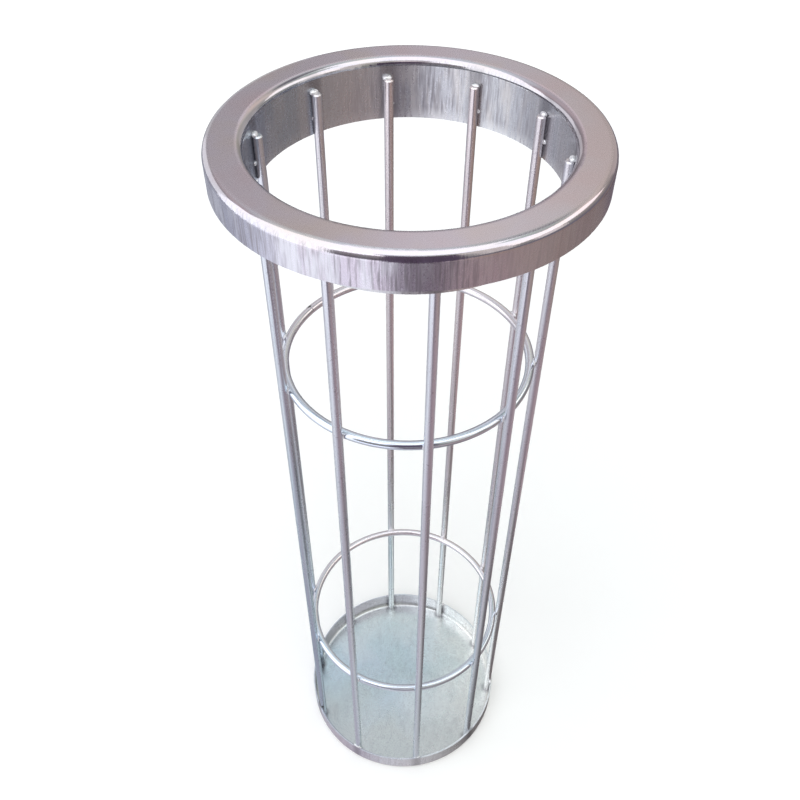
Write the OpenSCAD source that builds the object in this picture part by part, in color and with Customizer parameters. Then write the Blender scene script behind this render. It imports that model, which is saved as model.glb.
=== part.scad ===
// Filter cage for a bag filter: ten long wires welded inside a pressed collar at the top and a pressed pan
// at the bottom, with two wire hoops inside them.
// Millimetres. Z runs up the cage's axis from the pan's underside, and the front of the cage faces -Y.

/* [Cage] */
// Diameter over the long wires
cage_d = 120; // [100:1:140]
// Height of the whole cage
cage_h = 415; // [350:1:900]
// How deep a weld presses one piece into the next
weld_sink = 0.4; // [0.1:0.1:0.5]

/* [Long wires] */
// Number of long wires
wire_count = 10; // [6:1:16]
// Diameter of a long wire
wire_d = 4; // [3:0.5:6]
// Angle of the first long wire from the front, turning to the right
wire_turn = 9; // [0:1:35]
// How far each long wire stands off its even place: 0 is even spacing and 1 is as it was welded
slip_share = 1; // [0:0.1:1]
// Drop from the brim's top to the upper ends of the long wires
wire_drop = 8; // [5:0.5:15]
// Bevel on the sheared upper end of a long wire
wire_bevel = 0.5; // [0.1:0.1:1]

/* [Hoops] */
// Diameter of the hoops' wire
hoop_d = 4; // [3:0.5:6]
// Height of the lower hoop
lower_hoop_z = 98; // [30:1:160]
// Distance between the two hoops
hoop_pitch = 209; // [60:1:270]
// Angle from the front of the butt joint where a hoop's two ends meet
joint_turn = 237; // [0:1:359]
// Width of the groove left at the butt joint
joint_w = 0.5; // [0.2:0.1:1]
// Depth of the groove left at the butt joint
joint_depth = 0.4; // [0.1:0.1:0.8]

/* [Collar] */
// Width of the brim, from the inside of the neck to the outside of the skirt
brim_w = 14.6; // [10:0.1:30]
// Thickness of the collar's sheet
collar_t = 1; // [0.6:0.1:2]
// Outside radius of the bends from the brim into the neck and the skirt
collar_bend_r = 3.2; // [2.2:0.1:4]
// Height of the outer skirt
skirt_h = 13.9; // [6:0.1:24]
// Height of the inner neck
neck_h = 25.9; // [20:0.1:60]

/* [Pan] */
// Height of the pan's rim
rim_h = 13.2; // [6:0.1:28]
// Thickness of the pan's sheet
pan_t = 1; // [0.6:0.1:2]
// Inside radius of the bend from the floor into the rim
pan_bend_r = 2; // [0.5:0.1:4]

/* [Hidden] */
// Sides of a circle about the cage's axis
ring_fn = 72;
// Sides of a round wire
wire_fn = 20;
// Sides of a full circle in a sheet's bend
bend_fn = 24;
// Overrun of a cut past the face that it goes through
overrun = 1;

zinc_sheet = [0.72, 0.71, 0.72];
zinc_wire = [0.68, 0.70, 0.75];
zinc_floor = [0.70, 0.74, 0.74];

// Angles by which the welder set the long wires off their even places, taken in turn
wire_slips = [0, 2, 4, 2, 0.5, 0, -4.5, -1.5, -2, -1.5];

// Inside radius of the neck and of the rim: the long wires sink into both by the depth of a weld
bore_r = cage_d / 2 - weld_sink;
// Radius of the circle through the long wires' centres
wire_circle_r = cage_d / 2 - wire_d / 2;
// Radius of a hoop's centre line: the hoop sinks into the long wires by the depth of a weld
hoop_r = wire_circle_r - wire_d / 2 - hoop_d / 2 + weld_sink;

brim_r = bore_r + brim_w;
neck_low_z = cage_h - neck_h;
skirt_low_z = cage_h - skirt_h;
collar_low_z = min(neck_low_z, skirt_low_z);
wire_top_z = cage_h - wire_drop;
upper_hoop_z = lower_hoop_z + hoop_pitch;

wire_numbers = [1 : wire_count];

// Name of a long wire, with two digits
function wire_name(number) = str("wire_", number < 10 ? "0" : "", number);

// Angle by which a long wire stands off its even place
function wire_slip(number) = slip_share * wire_slips[(number - 1) % len(wire_slips)];

// Angle of a long wire from the front, turning to the right
function wire_angle(number) = wire_turn + (number - 1) * 360 / wire_count + wire_slip(number);

// Rectangle from x0 to x1 and y0 to y1, with its two upper corners rounded
module arched_panel(x0, x1, y0, y1, corner_r) {
    translate([x0, y0])
        square([x1 - x0, y1 - corner_r - y0]);
    translate([x0 + corner_r, y0])
        square([x1 - x0 - 2 * corner_r, y1 - y0]);
    for (x = [x0 + corner_r, x1 - corner_r])
        translate([x, y1 - corner_r])
            circle(corner_r, $fn = bend_fn);
}

// Cut under one leg of the collar's section, which starts at x, up to the leg's own lower edge
module leg_trim(x, edge_z) {
    translate([x - overrun, collar_low_z - overrun])
        square([collar_t + 2 * overrun, edge_z - collar_low_z + overrun]);
}

// Half section of the collar: an inverted U whose inner leg is the neck and whose outer leg is the skirt
module collar_section() {
    difference() {
        arched_panel(bore_r, brim_r, collar_low_z, cage_h, collar_bend_r);
        arched_panel(
            bore_r + collar_t,
            brim_r - collar_t,
            collar_low_z - overrun,
            cage_h - collar_t,
            collar_bend_r - collar_t
        );
        leg_trim(bore_r, neck_low_z);
        leg_trim(brim_r - collar_t, skirt_low_z);
    }
}

// The collar's sheet, spun about the cage's axis
module collar_sheet() {
    rotate_extrude($fn = ring_fn)
        collar_section();
}

// Half section of a round dish from y0 to y1, with its lower corner rounded
module dish_panel(r, y0, y1, corner_r) {
    translate([0, y0])
        square([r - corner_r, y1 - y0]);
    translate([0, y0 + corner_r])
        square([r, y1 - y0 - corner_r]);
    translate([r - corner_r, y0 + corner_r])
        circle(corner_r, $fn = bend_fn);
}

// The space inside the pan, open at the top
module pan_hollow() {
    rotate_extrude($fn = ring_fn)
        dish_panel(bore_r, pan_t, rim_h + overrun, pan_bend_r);
}

// The pan's sheet: a flat floor turned up into a rim
module pan_sheet() {
    difference() {
        rotate_extrude($fn = ring_fn)
            dish_panel(bore_r + pan_t, 0, rim_h, pan_bend_r + pan_t);
        pan_hollow();
    }
}

// Round rod of one long wire, standing on the pan's floor, with its upper end bevelled
module wire_rod(number) {
    rotate([0, 0, wire_angle(number)])
        translate([0, -wire_circle_r, 0])
            rotate_extrude($fn = wire_fn)
                polygon([
                    [0, pan_t],
                    [wire_d / 2, pan_t],
                    [wire_d / 2, wire_top_z - wire_bevel],
                    [wire_d / 2 - wire_bevel, wire_top_z],
                    [0, wire_top_z]
                ]);
}

// Groove round a hoop's wire where its two ends are butt-welded
module joint_groove() {
    rotate([0, 0, joint_turn])
        translate([0, -hoop_r, 0])
            rotate([0, 90, 0])
                difference() {
                    cylinder(d = hoop_d + 2 * overrun, h = joint_w, center = true, $fn = wire_fn);
                    cylinder(d = hoop_d - 2 * joint_depth, h = joint_w + overrun, center = true, $fn = wire_fn);
                }
}

// Wire ring at a height, seated on the long wires that cross it
module hoop(z) {
    color(zinc_wire)
        difference() {
            translate([0, 0, z])
                difference() {
                    rotate_extrude($fn = ring_fn)
                        translate([hoop_r, 0])
                            circle(d = hoop_d, $fn = wire_fn);
                    joint_groove();
                }
            for (number = wire_numbers)
                wire_rod(number);
        }
}

module top_collar() {
    color(zinc_sheet)
        collar_sheet();
}

module upper_hoop() {
    hoop(upper_hoop_z);
}

module lower_hoop() {
    hoop(lower_hoop_z);
}

module bottom_pan() {
    color(zinc_floor)
        pan_sheet();
}

// Everything up to the rim's height that is not inside the pan
module round_the_pan() {
    difference() {
        cylinder(r = brim_r, h = rim_h, $fn = ring_fn);
        pan_hollow();
    }
}

// Long wire, flattened where it is welded to the neck and to the rim
module long_wire(number) {
    color(zinc_wire)
        difference() {
            wire_rod(number);
            collar_sheet();
            round_the_pan();
        }
}

top_collar();
upper_hoop();
lower_hoop();
bottom_pan();
for (number = wire_numbers)
    long_wire(number);
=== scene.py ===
# %% [markdown]
# # A filter cage in zinc-plated steel
# The cage is ten straight wires, two wire hoops, a pressed collar and a pressed pan, all spot-welded and
# then plated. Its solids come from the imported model, which is the fixed frame of this scene: they are never
# moved, and only get their finish here. What this script adds is what the welder and the plating bath leave
# behind.

# %% Load the cage
import math

import bpy
from mathutils import Matrix, Vector


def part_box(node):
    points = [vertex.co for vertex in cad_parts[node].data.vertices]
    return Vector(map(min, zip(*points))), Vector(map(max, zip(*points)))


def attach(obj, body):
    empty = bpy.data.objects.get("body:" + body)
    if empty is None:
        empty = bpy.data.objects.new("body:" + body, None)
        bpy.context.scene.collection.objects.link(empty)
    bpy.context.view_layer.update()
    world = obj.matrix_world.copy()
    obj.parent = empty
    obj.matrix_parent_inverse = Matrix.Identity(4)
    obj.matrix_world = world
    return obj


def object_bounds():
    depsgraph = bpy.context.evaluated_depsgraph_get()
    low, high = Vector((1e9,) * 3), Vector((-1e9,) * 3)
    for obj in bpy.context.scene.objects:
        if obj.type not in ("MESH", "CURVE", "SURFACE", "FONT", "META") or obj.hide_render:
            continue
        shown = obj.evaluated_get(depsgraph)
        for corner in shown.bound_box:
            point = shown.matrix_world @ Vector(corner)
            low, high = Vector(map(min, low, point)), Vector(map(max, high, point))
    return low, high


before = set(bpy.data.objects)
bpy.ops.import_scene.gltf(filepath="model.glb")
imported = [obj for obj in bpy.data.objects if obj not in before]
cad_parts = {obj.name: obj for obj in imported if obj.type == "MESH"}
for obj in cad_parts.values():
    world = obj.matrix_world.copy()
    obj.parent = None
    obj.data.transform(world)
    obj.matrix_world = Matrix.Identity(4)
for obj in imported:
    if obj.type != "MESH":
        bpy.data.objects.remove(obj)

cad_low, cad_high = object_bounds()
scene = bpy.context.scene
scene.view_settings.view_transform = "Standard"
wire_names = sorted(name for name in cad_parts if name.startswith("wire_"))
hoop_names = ["upper_hoop", "lower_hoop"]
print("loaded", len(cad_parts), "solids,", len(wire_names), "of them long wires")

# %% [markdown]
# ## Measure the cage
# The main sizes could be written down again here, but they are read from the solids' boxes, so that the weld
# marks stay on the pieces when the cage is packed with another size. The long wires stand on a circle, but
# they were set one by one and not quite evenly, so the middle of each wire's own box gives its place and its
# turn.

# %% Sizes read from the solids
MM = 0.001


def middle(node):
    """Middle of a solid's box."""
    low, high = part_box(node)
    return (low + high) / 2


collar_low, collar_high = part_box("top_collar")
pan_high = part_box("bottom_pan")[1]
hoop_low, hoop_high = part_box("upper_hoop")
wire_low, wire_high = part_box(wire_names[0])

brim_top = collar_high.z
brim_r = collar_high.x
neck_low = collar_low.z
rim_top = pan_high.z
pan_r = pan_high.x
hoop_wire_r = (hoop_high.z - hoop_low.z) / 2
hoop_outer_r = hoop_high.x
wire_top = wire_high.z
wire_r = (wire_high.x - wire_low.x) / 2
wire_centres = [middle(name) for name in wire_names]
wire_turns = [math.atan2(centre.x, -centre.y) for centre in wire_centres]
wire_circle_r = wire_centres[0].xy.length
wire_reach = wire_circle_r + wire_r
print(f"brim {2 * brim_r / MM:.1f} mm across, wires {2 * wire_r / MM:.1f} mm thick",
      f"on a circle of {2 * wire_circle_r / MM:.1f} mm, turned by",
      " ".join(f"{math.degrees(turn):.1f}" for turn in wire_turns), "degrees")

# %% [markdown]
# ## A short way to write node trees
# Materials and Geometry Nodes are both graphs. Every node and link could be added by hand, but that hides
# what they do, so one helper adds a node, sets its properties and fills or links its inputs in a single call.

# %% Node helpers
def node_maker(tree):
    """Gives make(kind, inputs, **properties), which adds a node to a tree and fills or links its inputs."""
    def make(kind, inputs=None, **properties):
        node = tree.nodes.new(kind)
        for name, value in properties.items():
            setattr(node, name, value)
        for socket, value in (inputs or {}).items():
            if isinstance(value, bpy.types.NodeSocket):
                tree.links.new(value, node.inputs[socket])
            else:
                node.inputs[socket].default_value = value
        return node
    return make


def calculator(make):
    """Gives calc(operation, a, b), which adds one Math node and returns its output."""
    def calc(operation, a, b=0.0):
        return make("ShaderNodeMath", {0: a, 1: b}, operation=operation).outputs[0]
    return calc


# %% [markdown]
# ## Start of every zinc finish
# Zinc plating is a bare metal surface: all its brightness is reflection, so every finish is a metallic
# Principled shader. The passivating bath leaves faint tints on it, other ones on each piece. They could be
# painted on an image, but noise on Object coordinates needs none, and holds still on the piece.

# %% Start and end of a finish
def start_finish(name):
    """A new metallic material with its shader, node maker and Object coordinates."""
    finish = bpy.data.materials.new(name)
    finish.use_nodes = True
    shader = finish.node_tree.nodes["Principled BSDF"]
    shader.inputs["Metallic"].default_value = 1.0
    make = node_maker(finish.node_tree)
    place = make("ShaderNodeTexCoord").outputs["Object"]
    return finish, shader, make, place


def wire_up(finish, shader, colour, roughness, bump=None):
    """Joins a finish's colour, roughness and bump to its shader."""
    links = finish.node_tree.links
    links.new(colour, shader.inputs["Base Color"])
    links.new(roughness, shader.inputs["Roughness"])
    if bump is not None:
        links.new(bump, shader.inputs["Normal"])
    print("finish", finish.name, "with", len(finish.node_tree.nodes), "nodes")
    return finish


def dress(nodes, finish):
    """Gives solids a finish in place of their own."""
    for name in nodes:
        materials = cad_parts[name].data.materials
        materials.clear()
        materials.append(finish)


# %% Patterns and mixes
def noise(make, place, scale, detail=2.0, roughness=0.5):
    """Cloudy pattern between 0 and 1, with about scale features in a metre."""
    inputs = {"Vector": place, "Scale": scale, "Detail": detail, "Roughness": roughness}
    return make("ShaderNodeTexNoise", inputs).outputs["Fac"]


def stretched(make, place, scale):
    """Coordinates drawn out along an axis, by a scale below 1."""
    return make("ShaderNodeMapping", {"Vector": place, "Scale": scale}).outputs["Vector"]


def ramp(make, value, stops):
    """Colours at given stops of a value."""
    node = make("ShaderNodeValToRGB", {"Fac": value})
    elements = node.color_ramp.elements
    while len(elements) < len(stops):
        elements.new(1.0)
    for element, (position, colour) in zip(elements, stops):
        element.position = position
        element.color = colour
    return node.outputs["Color"]


def span(make, value, low, high, to_low=0.0, to_high=1.0):
    """A value between low and high taken to a new span, and held at its ends."""
    inputs = {"Value": value, "From Min": low, "From Max": high, "To Min": to_low, "To Max": to_high}
    return make("ShaderNodeMapRange", inputs, clamp=True).outputs["Result"]


def blend(make, share, first, second):
    """Mix of two colours by a share."""
    return make("ShaderNodeMix", {0: share, 6: first, 7: second}, data_type="RGBA").outputs[2]


# %% [markdown]
# ## Where a point lies on the cage
# The cage is round about Z, so two numbers say which piece of sheet a point is on: its distance from the
# axis and its height. A third, the distance in plan to the nearest long wire, says how much heat of a weld
# it has felt. They could be stored as attributes of each mesh, but the solids' meshes stay as they are, so
# the material works them out. Zones below are pairs: where a change starts, and where it is complete.

# %% Measures inside a material
def measures(make, calc, place):
    """X, Y and Z of a point, and its distance from the axis."""
    spread = make("ShaderNodeSeparateXYZ", {"Vector": place}).outputs
    x, y, z = spread["X"], spread["Y"], spread["Z"]
    from_axis = calc("SQRT", calc("ADD", calc("MULTIPLY", x, x), calc("MULTIPLY", y, y)))
    return x, y, z, from_axis


def nearest_wire(make, calc, place):
    """Distance in plan to the centre of the nearest long wire."""
    plan = stretched(make, place, (1.0, 1.0, 0.0))
    farther_than_any = cad_high.z
    nearest = farther_than_any
    for centre in wire_centres:
        gap = make("ShaderNodeVectorMath", {0: plan, 1: (centre.x, centre.y, 0.0)}, operation="DISTANCE")
        nearest = calc("MINIMUM", nearest, gap.outputs["Value"])
    return nearest


# %% [markdown]
# ## Collar
# The collar is pressed from one sheet. The press drags the sheet through its die, which leaves short upright
# streaks on the skirt and the neck, while the flat brim keeps its satin skin and the bends are rubbed
# smooth. The skirt's scoring fades to the right, and the neck's is strongest just right of the middle. The
# left of the skirt and neck is painted colder and darker as a painted reflection, and the neck has pale runs
# at its lower edge and painted shade along each wire that touches it. It could be a material for each zone,
# with the faces sorted among them, but then the zones would meet in hard lines. A point's height and radius
# can say which zone it is in, so one material holds them all and fades between them.

# %% Colours and zones of the collar
MAUVE = (0.68, 0.58, 0.61, 1.0)
LILAC = (0.67, 0.63, 0.68, 1.0)
STRAW = (0.68, 0.61, 0.57, 1.0)
LAVENDER = (0.70, 0.66, 0.77, 1.0)
TEAL_GREY = (0.60, 0.635, 0.655, 1.0)
SLATE_BLUE = (0.47, 0.56, 0.65, 1.0)
DULL_GREY = (0.34, 0.32, 0.35, 1.0)
BLUE_WHITE = (0.80, 0.81, 0.86, 1.0)
PALE_ZINC = (0.74, 0.725, 0.715, 1.0)
RIM_WHITE = (0.96, 0.98, 0.98, 1.0)
# Grey of painted shade along the wires on the neck, and of weld burn with painted shade at the pan's wire
# feet.
BURN_AND_SHADE_GREY = (0.22, 0.21, 0.23, 1.0)
BEND_SKIN = 0.1 * MM
BEND_TOP = 0.4 * MM
BEND_LOW = 3.4 * MM
BEND_FADE = 0.4 * MM
SKIRT_TO_NECK = (pan_r + 3 * MM, pan_r + 1 * MM)
# Between these x values the skirt and neck get a painted reflection, darker and bluer towards the left.
COLLAR_LEFT_REFLECTION = (-28 * MM, -48 * MM)
NECK_SCORING_STARTS = (-25 * MM, 0.0)
NECK_SCORING_ENDS = (56 * MM, 40 * MM)
SKIRT_SCORING_FADES = (8 * MM, 32 * MM)
RUN_REACH = 5.0 * MM
RUNS_PALER = (-30 * MM, 10 * MM)
# Painted shade along each wire on the neck, between these distances from the wire's centre.
NECK_CONTACT_SHADE = (5.0 * MM, 2.2 * MM)
print(f"the collar's bends end {BEND_LOW / MM:.1f} mm below the brim's top")

# %% Tint and scoring of the collar
def collar_tint(make, calc, place, x, wall, inner):
    """Colour of the clean sheet: mauve on the brim, lavender on the skirt, teal grey on the neck, painted
    slate blue at the walls' left as painted reflection.
    """
    patches = noise(make, place, scale=22.0, detail=3.0)
    sheet = ramp(make, patches, [(0.36, MAUVE), (0.52, LILAC), (0.66, STRAW)])
    skirt = blend(make, calc("MULTIPLY", wall, 0.6), sheet, LAVENDER)
    neck = blend(make, calc("MULTIPLY", calc("MULTIPLY", wall, inner), 0.8), skirt, TEAL_GREY)
    # Painted reflection: the left of the skirt and neck is painted darker slate blue, most on the neck.
    left_reflection_side = calc("MULTIPLY", wall, span(make, x, *COLLAR_LEFT_REFLECTION))
    left_reflection_share = calc("MULTIPLY", left_reflection_side, span(make, inner, 0.0, 1.0, to_low=0.4, to_high=0.8))
    return blend(make, left_reflection_share, neck, SLATE_BLUE)


def collar_scoring(make, calc, x, wall, inner):
    """How strongly the press has scored a point of the skirt or the neck."""
    on_neck = calc("MULTIPLY", span(make, x, *NECK_SCORING_STARTS, to_low=0.3),
                   span(make, x, *NECK_SCORING_ENDS, to_low=0.3))
    on_skirt = span(make, x, *SKIRT_SCORING_FADES, to_low=1.0, to_high=0.35)
    scored = make("ShaderNodeMix", {0: inner, 2: on_skirt, 3: on_neck}).outputs[0]
    return calc("MULTIPLY", wall, scored)


# %% Collar finish
def collar_finish():
    """Finish of the whole collar, which knows the brim, the bends, the skirt and the neck apart."""
    finish, shader, make, place = start_finish("collar_zinc")
    calc = calculator(make)
    x, _, height, from_axis = measures(make, calc, place)
    wall = span(make, height, brim_top - BEND_TOP, brim_top - BEND_LOW)
    inner = span(make, from_axis, *SKIRT_TO_NECK)
    upright = stretched(make, place, (1.0, 1.0, 0.06))
    streaks = noise(make, upright, scale=1100.0, detail=3.0, roughness=0.65)
    broad_upright = stretched(make, place, (1.0, 1.0, 0.22))
    broad = noise(make, broad_upright, scale=160.0, detail=3.0, roughness=0.6)
    grain = noise(make, place, scale=1600.0)

    tint = collar_tint(make, calc, place, x, wall, inner)
    scoring = collar_scoring(make, calc, x, wall, inner)
    dark_share = calc("MULTIPLY", scoring, span(make, streaks, 0.44, 0.62, to_high=0.8))
    streaked = blend(make, dark_share, tint, DULL_GREY)
    pale_share = calc("MULTIPLY", scoring, span(make, broad, 0.46, 0.62, to_high=0.8))
    washed = blend(make, pale_share, streaked, blend(make, inner, BLUE_WHITE, PALE_ZINC))
    run_edge = span(make, height, neck_low + RUN_REACH, neck_low)
    runs = calc("MULTIPLY", run_edge, span(make, streaks, 0.36, 0.56))
    run_share = calc("MULTIPLY", runs, span(make, x, *RUNS_PALER, to_low=0.3, to_high=0.9))
    drained = blend(make, run_share, washed, RIM_WHITE)
    # Painted shade: the neck is darkened along each wire that touches it, where shade falls in the contact.
    contact_shade = span(make, nearest_wire(make, calc, place), *NECK_CONTACT_SHADE, to_high=0.6)
    colour = blend(make, calc("MULTIPLY", calc("MULTIPLY", wall, inner), contact_shade), drained, BURN_AND_SHADE_GREY)

    satin = span(make, grain, 0.3, 0.7, to_low=0.25, to_high=0.31)
    bend = calc("MULTIPLY", span(make, height, brim_top - BEND_SKIN, brim_top - BEND_TOP),
                span(make, height, brim_top - BEND_LOW, brim_top - BEND_LOW + BEND_FADE))
    polished = calc("SUBTRACT", satin, calc("MULTIPLY", bend, 0.17))
    roughness = calc("ADD", polished, calc("MULTIPLY", dark_share, 0.15))
    relief = calc("ADD", calc("MULTIPLY", streaks, wall), calc("MULTIPLY", grain, 0.04))
    bump = make("ShaderNodeBump", {"Height": relief, "Strength": 0.8, "Distance": 0.06 * MM})
    return wire_up(finish, shader, colour, roughness, bump.outputs["Normal"])


dress(["top_collar"], collar_finish())

# %% [markdown]
# ## Long wires
# Drawn wire keeps die lines along its length. A UV map could carry them, but noise that is drawn out along Z
# gives lines that run up the wire and change around it, with no map at all. The wires at the back are painted
# warmer as a painted reflection, and the plating took colder on those on the left. The bath drained to the
# feet, which stay steel blue in front, slate blue on the left and paler at the back, and one foot on the
# left is painted near black up to about the rim's top, a painted shadow of the rim.

# %% Colours and zones of the wires
PALE_BLUE = (0.70, 0.715, 0.77, 1.0)
WARM_GREY = (0.84, 0.735, 0.71, 1.0)
STEEL_BLUE = (0.66, 0.74, 0.80, 1.0)
RINSED_BLUE = (0.78, 0.86, 0.88, 1.0)
# Black of the soot at the hoop's joint, and of painted shade at the left feet.
SOOT_AND_SHADE_BLACK = (0.04, 0.04, 0.05, 1.0)
# Between these y values the wires get a painted reflection, warmer towards the back.
BACK_REFLECTION_WARMER = (-30 * MM, 50 * MM)
COLDER_LEFT = (-20 * MM, -50 * MM)
LEFT_WIRES = (-36 * MM, -50 * MM)
LEFT_TO_FRONT = (5 * MM, -20 * MM)
SLATE_HEIGHTS = (300 * MM, 240 * MM)
BACK_FEET_PALER = (0.0, 30 * MM)
FRONT_TO_BACK_FEET = (-45 * MM, -5 * MM)
RINSED_HEIGHTS = (180 * MM, 90 * MM)
LEFTMOST_WIRE = (-53.5 * MM, -55.5 * MM)
# Painted shadow: the leftmost wire's foot is painted near black up to about the rim's top, where the rim
# shades it.
RIM_SHADOW_HEIGHTS = (1.4 * rim_top, 0.9 * rim_top)
print(f"soot up to {RIM_SHADOW_HEIGHTS[0] / MM:.1f} mm on the leftmost wire")

# %% Tint of the wires
def wire_tint(make, calc, x, y, z, die_lines):
    """Colour of a wire by its place in the cage and the height up it."""
    drawn = ramp(make, die_lines, [(0.28, LILAC), (0.38, PALE_BLUE), (0.56, BLUE_WHITE)])
    # Painted reflection: the wires at the back are painted warmer grey.
    warm_back_reflection = blend(make, span(make, y, *BACK_REFLECTION_WARMER, to_high=0.6), drawn, WARM_GREY)
    cold = blend(make, span(make, x, *COLDER_LEFT, to_high=0.5), warm_back_reflection, STEEL_BLUE)
    left = span(make, x, *LEFT_WIRES)
    left_front = calc("MULTIPLY", left, span(make, y, *LEFT_TO_FRONT))
    slate_share = calc("MULTIPLY", left_front, span(make, z, *SLATE_HEIGHTS, to_high=0.5))
    slate = blend(make, slate_share, cold, SLATE_BLUE)
    back_foot = blend(make, span(make, x, *BACK_FEET_PALER), RINSED_BLUE, RIM_WHITE)
    foot = blend(make, span(make, y, *FRONT_TO_BACK_FEET), STEEL_BLUE, back_foot)
    dried = blend(make, left, foot, SLATE_BLUE)
    return blend(make, span(make, z, *RINSED_HEIGHTS, to_high=0.8), slate, dried)


# %% Wire finish
def wire_finish():
    """Finish of all the long wires, which tells them apart by their places."""
    finish, shader, make, place = start_finish("wire_zinc")
    calc = calculator(make)
    x, y, z, _ = measures(make, calc, place)
    lengthwise = stretched(make, place, (1.0, 1.0, 0.012))
    die_lines = noise(make, lengthwise, scale=620.0, detail=3.0, roughness=0.6)
    patches = noise(make, place, scale=60.0, detail=3.0)
    specks = noise(make, place, scale=900.0, roughness=0.6)
    tint = wire_tint(make, calc, x, y, z, die_lines)
    speckled = blend(make, span(make, specks, 0.64, 0.74, to_high=0.6), tint, DULL_GREY)
    # Painted shadow of the rim on the leftmost wire's foot.
    foot_shade_share = calc("MULTIPLY", span(make, x, *LEFTMOST_WIRE), span(make, z, *RIM_SHADOW_HEIGHTS, to_high=0.85))
    colour = blend(make, foot_shade_share, speckled, SOOT_AND_SHADE_BLACK)
    roughness = span(make, patches, 0.35, 0.65, to_low=0.22, to_high=0.32)
    bump = make("ShaderNodeBump", {"Height": die_lines, "Strength": 0.12, "Distance": 0.05 * MM})
    return wire_up(finish, shader, colour, roughness, bump.outputs["Normal"])


dress(wire_names, wire_finish())

# %% [markdown]
# ## Hoops
# A hoop is the same drawn wire bent round and butt-welded, so its die lines follow the bend. They could be
# laid along a curve's own UV map, but the solid has none: the pattern is read from the distance to the axis
# and the height, which do not change along the hoop. The hoops are bluer in front and rosier behind. The
# upper one's joint, at the angle that the part's source gives it, has a spot of soot on its outer side.

# %% Colours and zones of the hoops
ROSE_WHITE = (0.92, 0.84, 0.85, 1.0)
HOOP_BLUE = (0.76, 0.85, 0.94, 1.0)
HOOP_ROSIER = (0.0, 35 * MM)
HOOP_BLUER = (15 * MM, -25 * MM)
JOINT_TURN = math.radians(237)
SOOT_REACH = (0.9 * hoop_wire_r, 0.4 * hoop_wire_r)
soot_r = hoop_outer_r - 0.4 * hoop_wire_r
soot_height = hoop_high.z - 0.2 * hoop_wire_r
soot_spot = (soot_r * math.sin(JOINT_TURN), -soot_r * math.cos(JOINT_TURN), soot_height)
print("soot at the joint:", " ".join(f"{value / MM:.1f}" for value in soot_spot), "mm")

# %% Hoop finish
def hoop_finish():
    """Finish of both hoops, with die lines that follow the bend."""
    finish, shader, make, place = start_finish("hoop_zinc")
    calc = calculator(make)
    _, y, z, from_axis = measures(make, calc, place)
    slow = calc("MULTIPLY", noise(make, place, scale=25.0), 4.0 * MM)
    section = make("ShaderNodeCombineXYZ", {"X": from_axis, "Y": z, "Z": slow}).outputs["Vector"]
    die_lines = noise(make, section, scale=520.0, detail=3.0, roughness=0.6)
    drawn = ramp(make, die_lines, [(0.26, LILAC), (0.38, PALE_BLUE), (0.50, BLUE_WHITE)])
    rosy = blend(make, span(make, y, *HOOP_ROSIER, to_high=0.6), drawn, ROSE_WHITE)
    plated = blend(make, span(make, y, *HOOP_BLUER, to_high=0.7), rosy, HOOP_BLUE)
    from_spot = make("ShaderNodeVectorMath", {0: place, 1: soot_spot}, operation="DISTANCE")
    soot_share = span(make, from_spot.outputs["Value"], *SOOT_REACH, to_high=0.9)
    colour = blend(make, soot_share, plated, SOOT_AND_SHADE_BLACK)
    roughness = span(make, die_lines, 0.3, 0.7, to_low=0.22, to_high=0.12)
    bump = make("ShaderNodeBump", {"Height": die_lines, "Strength": 0.1, "Distance": 0.05 * MM})
    return wire_up(finish, shader, colour, roughness, bump.outputs["Normal"])


dress(hoop_names, hoop_finish())

# %% [markdown]
# ## Pan
# The pan's floor lies flat in the plating bath and dries to a sea grey with faint clouds of blue and a fine
# grain. It was lifted out aslant: the right and the back are washed paler, and the front stays stone grey.
# The rim has upright streaks. It is painted paler towards the right and darker on its inside at the left,
# painted reflections both, and round each wire's foot the pan is darkened, partly weld burn and partly
# painted shade. Plain zones could show all this, but they would look like stripes, so the clouds push their
# edges about.

# %% Colours and zones of the pan
SEA_GREY = (0.60, 0.70, 0.72, 1.0)
SEA_BLUE = (0.62, 0.70, 0.77, 1.0)
PALE_GREEN = (0.90, 0.91, 0.87, 1.0)
STONE_GREY = (0.64, 0.635, 0.615, 1.0)
FLOOR_TO_RIM = (1.5 * MM, 4.0 * MM)
STRAY_REACH = 90 * MM
RIGHT_WASHED = (0.0, 45 * MM)
BACK_WASHED = (20 * MM, 50 * MM)
FRONT_DRAINED = (0.0, -40 * MM)
# Painted reflection: the rim is painted paler towards the right, and darker on its inside at the left.
RIM_REFLECTION_PALER = (5 * MM, 30 * MM)
RIM_INSIDE = (pan_r - 0.3 * MM, pan_r - 0.7 * MM)
RIM_REFLECTION_DARKER = (-6 * MM, -26 * MM)
# Round each wire's foot the pan is darkened, partly weld burn and partly painted shade.
FOOT_BURN_AND_SHADE = (4.5 * MM, 2.2 * MM)
print(f"the rim's inside lies within {RIM_INSIDE[1] / MM:.1f} mm of the axis")

# %% Tints of the pan
def pan_floor_tint(make, calc, x, y, clouds, stray):
    """Colour of the pan's floor, with washed and drained sides."""
    settled = ramp(make, clouds, [(0.36, SEA_GREY), (0.62, SEA_BLUE)])
    strayed_y = calc("ADD", y, stray)
    right_wash = span(make, calc("ADD", x, stray), *RIGHT_WASHED, to_high=0.95)
    wash = calc("MAXIMUM", right_wash, span(make, strayed_y, *BACK_WASHED, to_high=0.6))
    drain = span(make, strayed_y, *FRONT_DRAINED, to_high=0.8)
    return blend(make, drain, blend(make, wash, settled, PALE_GREEN), STONE_GREY)


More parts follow.
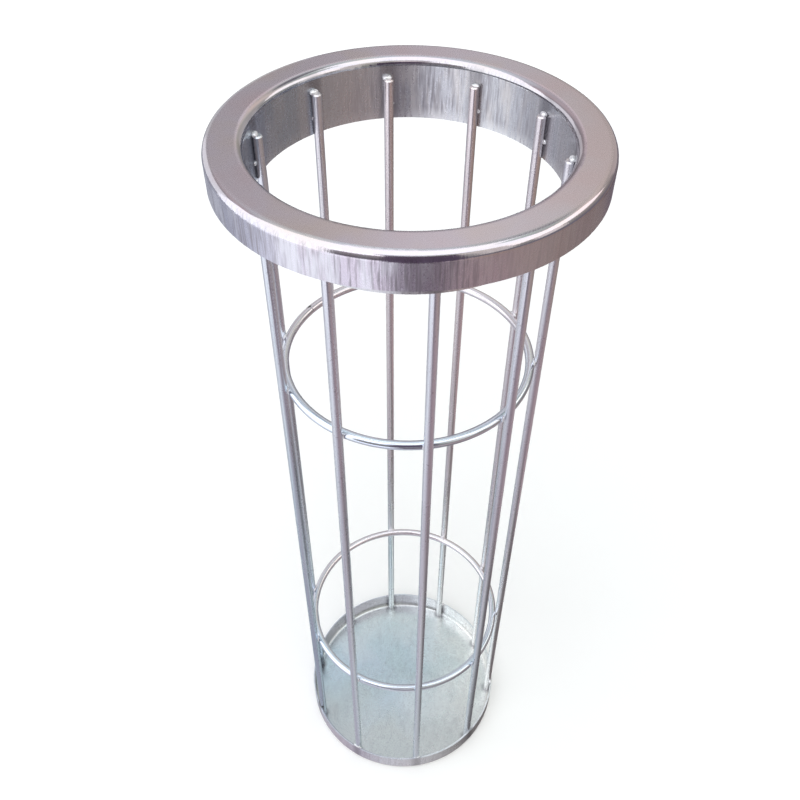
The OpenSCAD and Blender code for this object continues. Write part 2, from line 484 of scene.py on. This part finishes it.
def pan_rim_tint(make, calc, place, x, from_axis, stray):
    """Colour of the pan's rim, streaked, painted paler to the right and dark inside at the left as painted
    reflection.
    """
    upright = stretched(make, place, (1.0, 1.0, 0.05))
    streaks = noise(make, upright, scale=700.0, detail=3.0, roughness=0.65)
    strayed_x = calc("ADD", x, calc("MULTIPLY", stray, 0.3))
    # Painted reflection: the rim is painted whiter towards the right.
    clear = blend(make, span(make, strayed_x, *RIM_REFLECTION_PALER), BLUE_WHITE, RIM_WHITE)
    streaked = blend(make, span(make, streaks, 0.45, 0.75, to_high=0.3), clear, DULL_GREY)
    inside = span(make, from_axis, *RIM_INSIDE)
    # Painted reflection: the rim's inside at the left is painted dark grey.
    dark_left_reflection = calc("MULTIPLY", inside, span(make, strayed_x, *RIM_REFLECTION_DARKER, to_high=0.72))
    return blend(make, dark_left_reflection, streaked, DULL_GREY)


# %% Pan finish
def pan_finish():
    """Finish of the pan's floor and rim, darkened round each wire's foot by weld burn and painted shade."""
    finish, shader, make, place = start_finish("pan_zinc")
    calc = calculator(make)
    x, y, height, from_axis = measures(make, calc, place)
    clouds = noise(make, place, scale=26.0, detail=3.0)
    front_to_back = stretched(make, place, (1.0, 0.4, 1.0))
    marks = noise(make, front_to_back, scale=260.0, detail=4.0, roughness=0.65)
    grain = noise(make, place, scale=1500.0, detail=3.0, roughness=0.6)
    stray = calc("MULTIPLY", calc("SUBTRACT", clouds, 0.5), STRAY_REACH)
    floor_tint = pan_floor_tint(make, calc, x, y, clouds, stray)
    rim_tint = pan_rim_tint(make, calc, place, x, from_axis, stray)
    sheet = blend(make, span(make, height, *FLOOR_TO_RIM), floor_tint, rim_tint)
    worn = blend(make, span(make, marks, 0.5, 0.75, to_high=0.22), sheet, DULL_GREY)
    speckled = blend(make, span(make, grain, 0.48, 0.72, to_high=0.5), worn, DULL_GREY)
    # Round each wire's foot the pan is darkened: partly weld burn, partly painted shade where the wire meets
    # it.
    burn = span(make, nearest_wire(make, calc, place), *FOOT_BURN_AND_SHADE, to_high=0.65)
    colour = blend(make, burn, speckled, BURN_AND_SHADE_GREY)
    smooth = span(make, clouds, 0.35, 0.65, to_low=0.20, to_high=0.27)
    roughness = calc("ADD", smooth, calc("MULTIPLY", grain, 0.06))
    bump = make("ShaderNodeBump", {"Height": grain, "Strength": 0.15, "Distance": 0.05 * MM})
    return wire_up(finish, shader, colour, roughness, bump.outputs["Normal"])


dress(["bottom_pan"], pan_finish())

# %% [markdown]
# ## Weld marks
# Spot welding squeezes a little molten metal out of each contact. Each lump could be modelled by hand, but
# the marks repeat round the cage, once for each wire, so one Geometry Nodes tree makes a whole ring of them.
# It takes a mesh that is only points, one for each contact, strays them a little, sets a small lump on each
# and lets noise make no two lumps alike. The tree has named inputs, and each ring sets its own. A bead
# scatters light more than plated wire does, so its finish is only half metallic. Those at the left feet are
# painted near black as painted shade.

# %% Weld finish
BEAD_WHITE = (0.90, 0.91, 0.93, 1.0)
LEFT_BEADS = (-44 * MM, -50 * MM)
FOOT_BEADS = (2 * rim_top, 1.5 * rim_top)


def weld_finish():
    """Finish of the weld marks: burnt grey in the hollows, white on the bead, painted shade at the left feet.
    """
    finish, shader, make, place = start_finish("weld_zinc")
    shader.inputs["Metallic"].default_value = 0.5
    calc = calculator(make)
    x, _, z, _ = measures(make, calc, place)
    burn = noise(make, place, scale=700.0, detail=3.0, roughness=0.6)
    bead = ramp(make, burn, [(0.25, DULL_GREY), (0.38, LILAC), (0.5, BEAD_WHITE)])
    # Painted shade: the beads at the left feet are painted near black.
    foot_shade_share = calc("MULTIPLY", span(make, x, *LEFT_BEADS), span(make, z, *FOOT_BEADS, to_high=0.9))
    colour = blend(make, foot_shade_share, bead, SOOT_AND_SHADE_BLACK)
    roughness = span(make, burn, 0.3, 0.7, to_low=0.42, to_high=0.26)
    return wire_up(finish, shader, colour, roughness)


weld_zinc = weld_finish()

# %% Points of a ring of weld marks
def scaled(make, vector, share):
    """A vector times a number."""
    return make("ShaderNodeVectorMath", {0: vector, "Scale": share}, operation="SCALE").outputs[0]


def strayed_points(make, calc, given):
    """The contact points, each moved a little aside, and the turn that makes a lump face the Z axis."""
    spot = make("ShaderNodeSeparateXYZ", {"Vector": make("GeometryNodeInputPosition").outputs[0]}).outputs
    angle = calc("ARCTAN2", spot["X"], calc("MULTIPLY", spot["Y"], -1.0))
    turn = make("ShaderNodeCombineXYZ", {"Z": angle}).outputs[0]
    stray = make("FunctionNodeRandomValue",
                 {0: (-1.0, 0.0, -1.0), 1: (1.0, 0.0, 1.0), "Seed": given["Seed"]},
                 data_type="FLOAT_VECTOR").outputs[0]
    aside = make("ShaderNodeVectorRotate",
                 {"Vector": scaled(make, stray, given["Scatter"]), "Angle": angle},
                 rotation_type="Z_AXIS").outputs[0]
    points = make("GeometryNodeSetPosition", {"Geometry": given["Contacts"], "Offset": aside}).outputs[0]
    return points, turn


# %% Lumps of a ring of weld marks
SMALLEST_LUMP = 0.75
LARGEST_LUMP = 1.2
WOBBLE_SCALE = 700.0


def uneven_lumps(make, calc, given, points, turn):
    """A lump on each point, of a size drawn for it, and pushed in and out by noise."""
    ball = make("GeometryNodeMeshIcoSphere", {"Radius": 1.0, "Subdivisions": 3}).outputs["Mesh"]
    size_draw = make("FunctionNodeRandomValue", {2: SMALLEST_LUMP, 3: LARGEST_LUMP, "Seed": given["Seed"]},
                     data_type="FLOAT").outputs[1]
    size = scaled(make, given["Lump Size"], size_draw)
    placed = make("GeometryNodeInstanceOnPoints",
                  {"Points": points, "Instance": ball, "Rotation": turn, "Scale": size}).outputs[0]
    lumps = make("GeometryNodeRealizeInstances", {"Geometry": placed}).outputs[0]
    wobble = make("ShaderNodeTexNoise", {"Scale": WOBBLE_SCALE, "Detail": 1.0, "W": given["Seed"]},
                  noise_dimensions="4D").outputs["Fac"]
    push = calc("MULTIPLY", calc("SUBTRACT", wobble, 0.5), given["Unevenness"])
    offset = scaled(make, make("GeometryNodeInputNormal").outputs[0], push)
    return make("GeometryNodeSetPosition", {"Geometry": lumps, "Offset": offset}).outputs[0]


# %% Tree for a ring of weld marks
RING_INPUTS = [
    ("Contacts", "NodeSocketGeometry"),
    ("Lump Size", "NodeSocketVector"),
    ("Unevenness", "NodeSocketFloat"),
    ("Scatter", "NodeSocketFloat"),
    ("Seed", "NodeSocketInt"),
]


def weld_ring_tree():
    """Tree that sets one uneven lump of metal at each contact point, turned to face the Z axis."""
    tree = bpy.data.node_groups.new("weld_ring", "GeometryNodeTree")
    for name, kind in RING_INPUTS:
        tree.interface.new_socket(name=name, in_out="INPUT", socket_type=kind)
    tree.interface.new_socket(name="Marks", in_out="OUTPUT", socket_type="NodeSocketGeometry")
    make = node_maker(tree)
    calc = calculator(make)
    given = make("NodeGroupInput").outputs
    points, turn = strayed_points(make, calc, given)
    uneven = uneven_lumps(make, calc, given, points, turn)
    smooth = make("GeometryNodeSetShadeSmooth", {"Geometry": uneven}).outputs[0]
    coated = make("GeometryNodeSetMaterial", {"Geometry": smooth, "Material": weld_zinc}).outputs[0]
    make("NodeGroupOutput", {"Marks": coated})
    return tree


ring_tree = weld_ring_tree()
print("weld ring tree with", len(ring_tree.nodes), "nodes")

# %% A ring of weld marks as a piece
def weld_ring(name, slot, radius, height, **sizes):
    """Runs the tree on a contact at each long wire, and keeps the result as a mesh on the cage's body."""
    contacts = bpy.data.meshes.new(name)
    spots = [(radius * math.sin(turn), -radius * math.cos(turn), height) for turn in wire_turns]
    contacts.from_pydata(spots, [], [])
    piece = bpy.data.objects.new(name, contacts)
    scene.collection.objects.link(piece)
    modifier = piece.modifiers.new("ring", "NODES")
    modifier.node_group = ring_tree
    sockets = {item.name: item.identifier for item in ring_tree.interface.items_tree}
    for title, value in sizes.items():
        modifier[sockets[title.replace("_", " ")]] = value
    made = piece.evaluated_get(bpy.context.evaluated_depsgraph_get())
    piece.data = bpy.data.meshes.new_from_object(made)
    piece.modifiers.clear()
    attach(piece, "root")
    print(name, "has", len(piece.data.polygons), "faces")
    return piece


# %% [markdown]
# ## Marks at the hoops
# A hoop touches each long wire from inside. The squeezed-out metal fills the narrow wedge on both sides of
# the contact. A true fillet could be modelled along the seam, but a lump that is wide along the hoop and
# along the wire, and thin across, looks like one when it is sunk between them.

# %% Marks where hoops cross wires
UNEVENNESS = 0.5 * MM
HOOP_LUMP = (2.0 * MM, 0.75 * MM, 2.0 * MM)
contact_r = (hoop_outer_r + wire_circle_r - wire_r) / 2
for seed, name in enumerate(hoop_names):
    weld_ring(f"{name}_welds", "hoop_zinc", contact_r, middle(name).z, Seed=seed, Unevenness=UNEVENNESS,
              Lump_Size=HOOP_LUMP)

# %% [markdown]
# ## Marks at the neck and the rim
# Each long wire is spot-welded to the neck twice, once at its very end, where a small bright bead sits on
# the outer half of the wire, and once lower down, and to the pan's rim once. One bead could be copied from
# wire to wire, but real ones are never quite in line, so the same tree makes these rings too, with beads
# that stray a little.

# %% Marks on the neck and the rim
WELD_SINK = 0.4 * MM
SCATTER = 0.6 * MM
END_BEAD = (1.9 * MM, 1.3 * MM, 1.0 * MM)
END_BEAD_INSET = 0.7 * MM
END_BEAD_DROP = 0.1 * MM
LOWER_BEAD = (2.5 * MM, 0.7 * MM, 1.1 * MM)
LOWER_BEAD_SHARE = 0.36
RIM_BEAD = (2.9 * MM, 0.8 * MM, 1.1 * MM)
RIM_BEAD_DROP = 0.5 * MM
seat_r = wire_reach - WELD_SINK
lower_bead_height = neck_low + LOWER_BEAD_SHARE * (wire_top - neck_low)
bead_rings = {
    "neck_end_welds": ("collar_zinc", seat_r - END_BEAD_INSET, wire_top - END_BEAD_DROP, END_BEAD),
    "neck_lower_welds": ("collar_zinc", seat_r, lower_bead_height, LOWER_BEAD),
    "rim_welds": ("pan_zinc", seat_r, rim_top - RIM_BEAD_DROP, RIM_BEAD),
}
for seed, (name, (slot, radius, height, lump)) in enumerate(bead_rings.items(), start=len(hoop_names)):
    weld_ring(name, slot, radius, height, Seed=seed, Scatter=SCATTER, Unevenness=UNEVENNESS, Lump_Size=lump)

# %% [markdown]
# ## Studio floor and backdrop
# The cage stands on a plain floor that shows white. More lamps could whiten it, but they would wash out the
# metal, so the matt floor has a glow that only the camera and the metal see. The glow is weaker near the
# cage, where its soft shadow lies. Four sheets round the floor carry the white up behind the cage in low
# views. They show to the camera alone.

# %% Studio sheets
def plain_sheet(name, corners):
    """A flat four-sided sheet that belongs to the studio."""
    sheet_mesh = bpy.data.meshes.new(name)
    sheet_mesh.from_pydata(corners, [], [(0, 1, 2, 3)])
    sheet = bpy.data.objects.new(name, sheet_mesh)
    scene.collection.objects.link(sheet)
    return sheet


def lying(x0, x1, y0, y1, z):
    """Corners of a rectangle that lies flat."""
    return [(x0, y0, z), (x1, y0, z), (x1, y1, z), (x0, y1, z)]


def lying_square(reach, z):
    """Corners of a square that lies flat round the cage's axis."""
    return lying(-reach, reach, -reach, reach, z)


# %% Floor
FLOOR_REACH = 6.0
FLOOR_WHITE = (0.8, 0.8, 0.8, 1.0)
GLOW_GROWS = (0.12, 1.28)


def studio_paint(name, near_glow, far_glow):
    """Matt white paint with a glow that grows away from the cage and that only camera and metal see."""
    finish = bpy.data.materials.new(name)
    finish.use_nodes = True
    tree = finish.node_tree
    tree.nodes.clear()
    make = node_maker(tree)
    calc = calculator(make)
    path = make("ShaderNodeLightPath").outputs
    mirrored = calc("MAXIMUM", path["Is Glossy Ray"], path["Is Transmission Ray"])
    seen = calc("MAXIMUM", path["Is Camera Ray"], mirrored)
    _, _, _, from_axis = measures(make, calc, make("ShaderNodeTexCoord").outputs["Object"])
    strength = span(make, from_axis, *GLOW_GROWS, to_low=near_glow, to_high=far_glow)
    matt = make("ShaderNodeBsdfDiffuse", {"Color": FLOOR_WHITE}).outputs[0]
    glow = make("ShaderNodeEmission", {"Strength": calc("MULTIPLY", seen, strength)}).outputs[0]
    both = make("ShaderNodeAddShader", {0: matt, 1: glow}).outputs[0]
    make("ShaderNodeOutputMaterial", {"Surface": both})
    return finish


floor = plain_sheet("studio_floor", lying_square(FLOOR_REACH, cad_low.z))
floor.data.materials.append(studio_paint("studio_floor", near_glow=0.22, far_glow=0.62))
print("floor", 2 * FLOOR_REACH, "m across")

# %% Backdrop
def standing(x0, y0, x1, y1, z0, z1):
    """Corners of an upright rectangle over a line on the floor."""
    return [(x0, y0, z0), (x1, y1, z0), (x1, y1, z1), (x0, y0, z1)]


BACKDROP_TOP = 4.0
backdrop_paint = studio_paint("studio_backdrop", near_glow=0.8, far_glow=0.8)
floor_corners = [(x, y) for x, y, _ in lying_square(FLOOR_REACH, cad_low.z)]
next_corners = floor_corners[1:] + floor_corners[:1]
for side, (x0, y0), (x1, y1) in zip(("front", "right", "back", "left"), floor_corners, next_corners):
    backdrop = plain_sheet(f"{side}_backdrop", standing(x0, y0, x1, y1, cad_low.z, BACKDROP_TOP))
    backdrop.data.materials.append(backdrop_paint)
    backdrop.visible_diffuse = False
    backdrop.visible_glossy = False
    backdrop.visible_shadow = False
print("backdrop", BACKDROP_TOP, "m high")

# %% [markdown]
# ## Boards that the metal mirrors
# Bright metal is only as good as what it mirrors, so the studio has boards, as a photographer's has. Painted
# ones lie on the floor round the cage: palest towards the front left, as under a window, brown and dark on
# the right, and grey behind. White and cream ones stand round it and hang overhead, where they draw the
# broad white lines along the bends, and dark ones put a crisp edge beside those lines. A photograph of a
# room could be wrapped round the scene instead, but boards are plain to place and to change. They show in
# the metal alone: the floor keeps its plain light.

# %% A board
def mirror_board(name, paint, corners, strength=1.0):
    """A glowing board that only shows in the metal."""
    finish = bpy.data.materials.new(name)
    finish.use_nodes = True
    finish.node_tree.nodes.clear()
    make = node_maker(finish.node_tree)
    glow = make("ShaderNodeEmission", {"Color": paint(make), "Strength": strength}).outputs[0]
    make("ShaderNodeOutputMaterial", {"Surface": glow})
    board = plain_sheet(name, corners)
    board.data.materials.append(finish)
    board.visible_camera = False
    board.visible_shadow = False
    board.visible_diffuse = False
    print("board", name)
    return board


def painted_plain(colour):
    """Paint of one colour."""
    return lambda make: colour


def painted_by_turn(stops):
    """Paint by the direction from the cage: 0 and 1 behind, 0.25 left, 0.5 in front, 0.75 right."""
    def paint(make):
        calc = calculator(make)
        x, y, _, _ = measures(make, calc, make("ShaderNodeTexCoord").outputs["Object"])
        angle = calc("ARCTAN2", x, calc("MULTIPLY", y, -1.0))
        return ramp(make, calc("ADD", calc("DIVIDE", angle, 2 * math.pi), 0.5), stops)
    return paint


# %% Boards far out on the floor
DIM = painted_plain((0.20, 0.19, 0.22, 1.0))
DARK = painted_plain((0.15, 0.125, 0.15, 1.0))
FAR_REACH = 1.3
FAR_TURNS = [
    (0.00, (0.34, 0.34, 0.36, 1.0)),
    (0.16, (0.44, 0.45, 0.52, 1.0)),
    (0.23, (0.58, 0.58, 0.66, 1.0)),
    (0.30, (1.14, 1.14, 1.22, 1.0)),
    (0.45, (1.24, 1.22, 1.32, 1.0)),
    (0.50, (0.66, 0.61, 0.68, 1.0)),
    (0.60, (0.44, 0.34, 0.30, 1.0)),
    (0.84, (0.26, 0.21, 0.19, 1.0)),
    (1.00, (0.34, 0.34, 0.36, 1.0)),
]
LAYER_STEP = 0.05 * MM


def layer(number):
    """Height of a board that lies on the floor, each layer over the last."""
    return cad_low.z + LAYER_STEP * number


mirror_board("horizon_board", DIM, lying_square(FLOOR_REACH, layer(1)))
mirror_board("far_board", painted_by_turn(FAR_TURNS), lying_square(FAR_REACH, layer(2)))
mirror_board("front_dark_board", DARK, lying(-0.08, 0.24, -1.3, -0.46, layer(3)))
mirror_board("back_dark_board", DARK, lying(-0.1, 0.8, 0.46, 1.6, layer(3)))

# %% Boards near the cage's foot
NEAR_REACH = 0.44
NEAR_TURNS = [
    (0.00, (0.56, 0.54, 0.57, 1.0)),
    (0.20, (0.66, 0.66, 0.70, 1.0)),
    (0.32, (0.70, 0.73, 0.79, 1.0)),
    (0.36, (0.98, 1.01, 1.06, 1.0)),
    (0.40, (0.70, 0.70, 0.77, 1.0)),
    (0.49, (0.45, 0.41, 0.46, 1.0)),
    (0.55, (0.33, 0.25, 0.29, 1.0)),
    (0.66, (0.40, 0.30, 0.33, 1.0)),
    (0.86, (0.48, 0.41, 0.42, 1.0)),
    (1.00, (0.56, 0.54, 0.57, 1.0)),
]
FOOT_REACH = 0.2
FOOT_TURNS = [
    (0.00, (0.40, 0.44, 0.46, 1.0)),
    (0.25, (0.48, 0.51, 0.57, 1.0)),
    (0.38, (0.56, 0.51, 0.57, 1.0)),
    (0.42, (0.50, 0.46, 0.53, 1.0)),
    (0.47, (0.66, 0.65, 0.69, 1.0)),
    (0.51, (0.66, 0.64, 0.66, 1.0)),
    (0.58, (0.36, 0.35, 0.36, 1.0)),
    (0.63, (0.18, 0.165, 0.17, 1.0)),
    (0.72, (0.16, 0.135, 0.14, 1.0)),
    (0.86, (0.30, 0.30, 0.31, 1.0)),
    (1.00, (0.40, 0.44, 0.46, 1.0)),
]
mirror_board("near_board", painted_by_turn(NEAR_TURNS), lying_square(NEAR_REACH, layer(4)))
mirror_board("foot_board", painted_by_turn(FOOT_TURNS), lying_square(FOOT_REACH, layer(5)))

# %% Boards round the cage and overhead
BLACK = painted_plain((0.11, 0.08, 0.12, 1.0))
WHITE = painted_plain((0.96, 0.97, 1.0, 1.0))
CREAM = painted_plain((1.0, 0.94, 0.90, 1.0))
LAMP_HEIGHT = 1.55
mirror_board("near_dark_board", BLACK, standing(-0.05, -0.25, 0.11, -0.25, 0.33, 0.585))
mirror_board("lamp_board", WHITE, lying(-1.7, 0.55, -0.9, 0.3, LAMP_HEIGHT), strength=1.6)
mirror_board("lamp_left_board", WHITE, lying(-1.7, -0.35, -1.7, -0.9, LAMP_HEIGHT), strength=1.75)
mirror_board("lamp_right_board", WHITE, lying(0.55, 1.25, -0.9, -0.1, LAMP_HEIGHT), strength=1.5)
mirror_board("window_board", WHITE, standing(-1.0, -1.2, -1.5, 0.5, 0.0, 1.45), strength=1.6)
mirror_board("left_wall_board", WHITE, standing(-1.5, 0.5, -1.0, 1.4, 0.1, 1.1))
mirror_board("back_left_wall_board", WHITE, standing(-1.0, 1.4, -0.3, 1.7, 0.1, 0.95), strength=0.66)
mirror_board("back_right_wall_board", CREAM, standing(0.45, 1.45, 1.25, 0.95, 0.30, 0.95), strength=0.55)
mirror_board("right_wall_board", CREAM, standing(1.2, -0.9, 1.3, 0.75, 0.85, LAMP_HEIGHT), strength=1.6)
mirror_board("right_low_board", CREAM, standing(1.25, -0.6, 1.32, -0.15, 0.42, 0.85), strength=0.9)
mirror_board("front_right_board", CREAM, standing(0.75, -1.1, 1.2, -0.9, 0.42, 1.3), strength=0.75)
mirror_board("beam_dark_board", DIM, lying(0.3, 0.8, 0.42, 0.88, LAMP_HEIGHT))

# %% [markdown]
# ## Lamp and room
# One large soft lamp hangs over the cage's front left and gives it its shadow. A small lamp could light the
# cage too, but its shadow would be hard. The room is the rest of what the metal mirrors: dusky at the
# horizon, palest about 40 degrees up, and blue overhead, dimmer on the left and warmer on the right. More
# boards could show that, but the room is so even that the direction alone can shade it.

# %% Lamp
def soft_lamp(name, place, target, width, depth, watts):
    """A rectangular area lamp that looks at a target, and that the metal doesn't mirror."""
    lamp = bpy.data.lights.new(name, "AREA")
    lamp.shape = "RECTANGLE"
    lamp.size = width
    lamp.size_y = depth
    lamp.energy = watts
    holder = bpy.data.objects.new(name, lamp)
    holder.location = place
    holder.rotation_euler = (Vector(target) - Vector(place)).to_track_quat("-Z", "Y").to_euler()
    holder.visible_camera = False
    holder.visible_glossy = False
    scene.collection.objects.link(holder)
    print("lamp", name, watts, "W")
    return holder


LAMP_X = -0.55
LAMP_Y = -0.9
soft_lamp("key_lamp", place=(LAMP_X, LAMP_Y, LAMP_HEIGHT), target=(LAMP_X, LAMP_Y, 0.0),
          width=2.3, depth=2.0, watts=24.0)

# %% Room
ROOM_SHADES = [
    (0.00, (0.34, 0.31, 0.33, 1.0)),
    (0.42, (0.61, 0.58, 0.61, 1.0)),
    (0.60, (1.04, 0.92, 0.95, 1.0)),
    (0.73, (0.62, 0.64, 0.68, 1.0)),
    (0.88, (0.76, 0.85, 0.90, 1.0)),
    (1.00, (0.84, 0.94, 1.00, 1.0)),
]
WARM_FILTER = (0.81, 0.85, 0.75, 1.0)
WARM_RIGHT = (0.05, 0.22)
DIM_LEFT = (0.02, -0.11)
DIM_BELOW = (0.78, 0.64)
DIM_STRENGTH = 0.58


def studio_room():
    """World that shades the room by height, dims its left and warms its right."""
    world = bpy.data.worlds.new("studio_room")
    world.use_nodes = True
    scene.world = world
    tree = world.node_tree
    make = node_maker(tree)
    calc = calculator(make)
    x, _, z, _ = measures(make, calc, make("ShaderNodeTexCoord").outputs["Generated"])
    shade = ramp(make, z, ROOM_SHADES)
    dim_share = calc("MULTIPLY", span(make, z, *DIM_BELOW), span(make, x, *DIM_LEFT))
    dim = span(make, dim_share, 0.0, 1.0, to_low=1.0, to_high=DIM_STRENGTH)
    warm = make("ShaderNodeMix", {0: span(make, x, *WARM_RIGHT), 6: shade, 7: WARM_FILTER},
                data_type="RGBA", blend_type="MULTIPLY").outputs[2]
    tree.links.new(warm, tree.nodes["Background"].inputs["Color"])
    tree.links.new(dim, tree.nodes["Background"].inputs["Strength"])
    print("room with", len(ROOM_SHADES), "shades")
    return world


studio_room()

# %% [markdown]
# ## Camera
# The camera stands above and in front of the cage and looks down at it by about 45 degrees. It is close, so
# the cage narrows strongly towards its foot. It could be turned by eye until the cage looks right, but a
# close view shows every small error, so its place was worked out from the outlines of the brim, hoops and
# pan.

# %% Camera
IMAGE_SIDE = 800
FOCAL_PIXELS = 876.88
SENSOR_WIDTH = 36.0
NEAREST_SEEN = 0.01
CAMERA_PLACE = Vector((0.0, -288.47, 571.26)) * MM
PITCH = math.radians(45.50)
YAW = math.radians(-0.60)
ROLL = math.radians(-0.35)
camera_data = bpy.data.cameras.new("camera")
camera_data.sensor_width = SENSOR_WIDTH
camera_data.lens = FOCAL_PIXELS / IMAGE_SIDE * SENSOR_WIDTH
camera_data.clip_start = NEAREST_SEEN
camera = bpy.data.objects.new("camera", camera_data)
scene.collection.objects.link(camera)
upright = Matrix.Rotation(-YAW, 4, "Z") @ Matrix.Rotation(math.pi / 2 - PITCH, 4, "X")
camera.matrix_world = Matrix.Translation(CAMERA_PLACE) @ upright @ Matrix.Rotation(-ROLL, 4, "Z")
scene.camera = camera
print(f"camera with a {camera_data.lens:.1f} mm lens")
